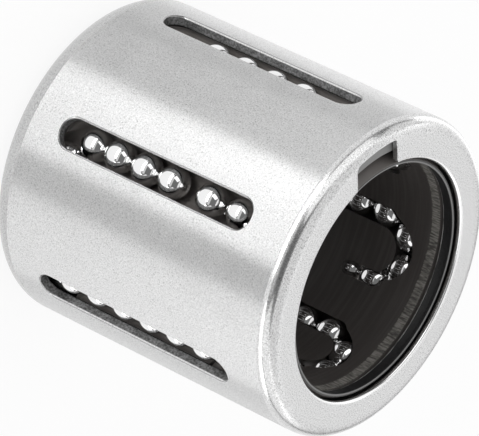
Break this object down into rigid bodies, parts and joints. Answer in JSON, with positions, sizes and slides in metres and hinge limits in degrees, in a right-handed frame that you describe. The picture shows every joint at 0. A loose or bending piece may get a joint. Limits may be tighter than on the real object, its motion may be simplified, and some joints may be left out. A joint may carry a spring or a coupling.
{
  "type": "linear ball bearing",
  "caption": "Compact linear ball bearing: thin drawn steel sleeve with return slots, recirculating balls in a moulded cage, and a lip seal at each end; guides a round shaft.",
  "frame": {"origin": "centre of the plain rear end face, on the shaft axis", "axes": "+Z along the shaft axis towards the notched front end; one return slot faces -Y"},
  "size_m": [0.028, 0.028, 0.03],
  "materials": {
    "sleeve_steel": "fine ground",
    "cage_polymer": "moulded satin",
    "seal_rubber": "moulded satin",
    "ball_steel": "polished"
  },
  "bodies": {
    "housing": {"outer_sleeve": "sleeve_steel", "ball_cage": "cage_polymer", "front_seal": "seal_rubber", "rear_seal": "seal_rubber"},
    "circuit_1_loaded_row": {"circuit_1_loaded_row": "ball_steel"},
    "circuit_1_front_turn": {"circuit_1_front_turn": "ball_steel"},
    "circuit_1_return_row": {"circuit_1_return_row": "ball_steel"},
    "circuit_1_rear_turn": {"circuit_1_rear_turn": "ball_steel"},
    "circuit_2_loaded_row": {"circuit_2_loaded_row": "ball_steel"},
    "circuit_2_front_turn": {"circuit_2_front_turn": "ball_steel"},
    "circuit_2_return_row": {"circuit_2_return_row": "ball_steel"},
    "circuit_2_rear_turn": {"circuit_2_rear_turn": "ball_steel"},
    "circuit_3_loaded_row": {"circuit_3_loaded_row": "ball_steel"},
    "circuit_3_front_turn": {"circuit_3_front_turn": "ball_steel"},
    "circuit_3_return_row": {"circuit_3_return_row": "ball_steel"},
    "circuit_3_rear_turn": {"circuit_3_rear_turn": "ball_steel"},
    "circuit_4_loaded_row": {"circuit_4_loaded_row": "ball_steel"},
    "circuit_4_front_turn": {"circuit_4_front_turn": "ball_steel"},
    "circuit_4_return_row": {"circuit_4_return_row": "ball_steel"},
    "circuit_4_rear_turn": {"circuit_4_rear_turn": "ball_steel"},
    "circuit_5_loaded_row": {"circuit_5_loaded_row": "ball_steel"},
    "circuit_5_front_turn": {"circuit_5_front_turn": "ball_steel"},
    "circuit_5_return_row": {"circuit_5_return_row": "ball_steel"},
    "circuit_5_rear_turn": {"circuit_5_rear_turn": "ball_steel"},
    "circuit_6_loaded_row": {"circuit_6_loaded_row": "ball_steel"},
    "circuit_6_front_turn": {"circuit_6_front_turn": "ball_steel"},
    "circuit_6_return_row": {"circuit_6_return_row": "ball_steel"},
    "circuit_6_rear_turn": {"circuit_6_rear_turn": "ball_steel"}
  },
  "joints": [
    {"name": "circuit_1_return_roll", "type": "slide", "parent": "housing", "child": "circuit_1_return_row", "axis": [0, 0, 1], "range_m": [-0.00075, 0.00075]},
    {"name": "circuit_1_loaded_roll", "type": "slide", "parent": "housing", "child": "circuit_1_loaded_row", "axis": [0, 0, 1], "range_m": [-0.00075, 0.00075]},
    {"name": "circuit_1_front_turn_roll", "type": "hinge", "parent": "housing", "child": "circuit_1_front_turn", "pos_m": [0.00285, -0.01074, 0.0222], "axis": [0.2857, -0.9485, -0.1367], "range_deg": [-14.43, 14.43]},
    {"name": "circuit_1_rear_turn_roll", "type": "hinge", "parent": "housing", "child": "circuit_1_rear_turn", "pos_m": [0.00285, -0.01074, 0.0078], "axis": [-0.2857, 0.9485, -0.1367], "range_deg": [-14.43, 14.43]},
    {"name": "circuit_2_return_roll", "type": "slide", "parent": "housing", "child": "circuit_2_return_row", "axis": [0, 0, 1], "range_m": [-0.00075, 0.00075]},
    {"name": "circuit_2_loaded_roll", "type": "slide", "parent": "housing", "child": "circuit_2_loaded_row", "axis": [0, 0, 1], "range_m": [-0.00075, 0.00075]},
    {"name": "circuit_2_front_turn_roll", "type": "hinge", "parent": "housing", "child": "circuit_2_front_turn", "pos_m": [0.01073, -0.0029, 0.0222], "axis": [0.9643, -0.2268, -0.1367], "range_deg": [-14.43, 14.43]},
    {"name": "circuit_2_rear_turn_roll", "type": "hinge", "parent": "housing", "child": "circuit_2_rear_turn", "pos_m": [0.01073, -0.0029, 0.0078], "axis": [-0.9643, 0.2268, -0.1367], "range_deg": [-14.43, 14.43]},
    {"name": "circuit_3_return_roll", "type": "slide", "parent": "housing", "child": "circuit_3_return_row", "axis": [0, 0, 1], "range_m": [-0.00075, 0.00075]},
    {"name": "circuit_3_loaded_roll", "type": "slide", "parent": "housing", "child": "circuit_3_loaded_row", "axis": [0, 0, 1], "range_m": [-0.00075, 0.00075]},
    {"name": "circuit_3_front_turn_roll", "type": "hinge", "parent": "housing", "child": "circuit_3_front_turn", "pos_m": [0.00787, 0.00784, 0.0222], "axis": [0.6786, 0.7217, -0.1367], "range_deg": [-14.43, 14.43]},
    {"name": "circuit_3_rear_turn_roll", "type": "hinge", "parent": "housing", "child": "circuit_3_rear_turn", "pos_m": [0.00787, 0.00784, 0.0078], "axis": [-0.6786, -0.7217, -0.1367], "range_deg": [-14.43, 14.43]},
    {"name": "circuit_4_return_roll", "type": "slide", "parent": "housing", "child": "circuit_4_return_row", "axis": [0, 0, 1], "range_m": [-0.00075, 0.00075]},
    {"name": "circuit_4_loaded_roll", "type": "slide", "parent": "housing", "child": "circuit_4_loaded_row", "axis": [0, 0, 1], "range_m": [-0.00075, 0.00075]},
    {"name": "circuit_4_front_turn_roll", "type": "hinge", "parent": "housing", "child": "circuit_4_front_turn", "pos_m": [-0.00285, 0.01074, 0.0222], "axis": [-0.2857, 0.9485, -0.1367], "range_deg": [-14.43, 14.43]},
    {"name": "circuit_4_rear_turn_roll", "type": "hinge", "parent": "housing", "child": "circuit_4_rear_turn", "pos_m": [-0.00285, 0.01074, 0.0078], "axis": [0.2857, -0.9485, -0.1367], "range_deg": [-14.43, 14.43]},
    {"name": "circuit_5_return_roll", "type": "slide", "parent": "housing", "child": "circuit_5_return_row", "axis": [0, 0, 1], "range_m": [-0.00075, 0.00075]},
    {"name": "circuit_5_loaded_roll", "type": "slide", "parent": "housing", "child": "circuit_5_loaded_row", "axis": [0, 0, 1], "range_m": [-0.00075, 0.00075]},
    {"name": "circuit_5_front_turn_roll", "type": "hinge", "parent": "housing", "child": "circuit_5_front_turn", "pos_m": [-0.01073, 0.0029, 0.0222], "axis": [-0.9643, 0.2268, -0.1367], "range_deg": [-14.43, 14.43]},
    {"name": "circuit_5_rear_turn_roll", "type": "hinge", "parent": "housing", "child": "circuit_5_rear_turn", "pos_m": [-0.01073, 0.0029, 0.0078], "axis": [0.9643, -0.2268, -0.1367], "range_deg": [-14.43, 14.43]},
    {"name": "circuit_6_return_roll", "type": "slide", "parent": "housing", "child": "circuit_6_return_row", "axis": [0, 0, 1], "range_m": [-0.00075, 0.00075]},
    {"name": "circuit_6_loaded_roll", "type": "slide", "parent": "housing", "child": "circuit_6_loaded_row", "axis": [0, 0, 1], "range_m": [-0.00075, 0.00075]},
    {"name": "circuit_6_front_turn_roll", "type": "hinge", "parent": "housing", "child": "circuit_6_front_turn", "pos_m": [-0.00787, -0.00784, 0.0222], "axis": [-0.6786, -0.7217, -0.1367], "range_deg": [-14.43, 14.43]},
    {"name": "circuit_6_rear_turn_roll", "type": "hinge", "parent": "housing", "child": "circuit_6_rear_turn", "pos_m": [-0.00787, -0.00784, 0.0078], "axis": [0.6786, 0.7217, -0.1367], "range_deg": [-14.43, 14.43]}
  ],
  "couplings": [
    {"joint": "circuit_1_loaded_roll", "follows": "circuit_1_return_roll", "ratio": -1},
    {"joint": "circuit_1_front_turn_roll", "follows": "circuit_1_return_roll", "rad_per_m": -335.7},
    {"joint": "circuit_1_rear_turn_roll", "follows": "circuit_1_return_roll", "rad_per_m": 335.7},
    {"joint": "circuit_2_loaded_roll", "follows": "circuit_2_return_roll", "ratio": -1},
    {"joint": "circuit_2_front_turn_roll", "follows": "circuit_2_return_roll", "rad_per_m": -335.7},
    {"joint": "circuit_2_rear_turn_roll", "follows": "circuit_2_return_roll", "rad_per_m": 335.7},
    {"joint": "circuit_3_loaded_roll", "follows": "circuit_3_return_roll", "ratio": -1},
    {"joint": "circuit_3_front_turn_roll", "follows": "circuit_3_return_roll", "rad_per_m": -335.7},
    {"joint": "circuit_3_rear_turn_roll", "follows": "circuit_3_return_roll", "rad_per_m": 335.7},
    {"joint": "circuit_4_loaded_roll", "follows": "circuit_4_return_roll", "ratio": -1},
    {"joint": "circuit_4_front_turn_roll", "follows": "circuit_4_return_roll", "rad_per_m": -335.7},
    {"joint": "circuit_4_rear_turn_roll", "follows": "circuit_4_return_roll", "rad_per_m": 335.7},
    {"joint": "circuit_5_loaded_roll", "follows": "circuit_5_return_roll", "ratio": -1},
    {"joint": "circuit_5_front_turn_roll", "follows": "circuit_5_return_roll", "rad_per_m": -335.7},
    {"joint": "circuit_5_rear_turn_roll", "follows": "circuit_5_return_roll", "rad_per_m": 335.7},
    {"joint": "circuit_6_loaded_roll", "follows": "circuit_6_return_roll", "ratio": -1},
    {"joint": "circuit_6_front_turn_roll", "follows": "circuit_6_return_roll", "rad_per_m": -335.7},
    {"joint": "circuit_6_rear_turn_roll", "follows": "circuit_6_return_roll", "rad_per_m": 335.7}
  ]
}
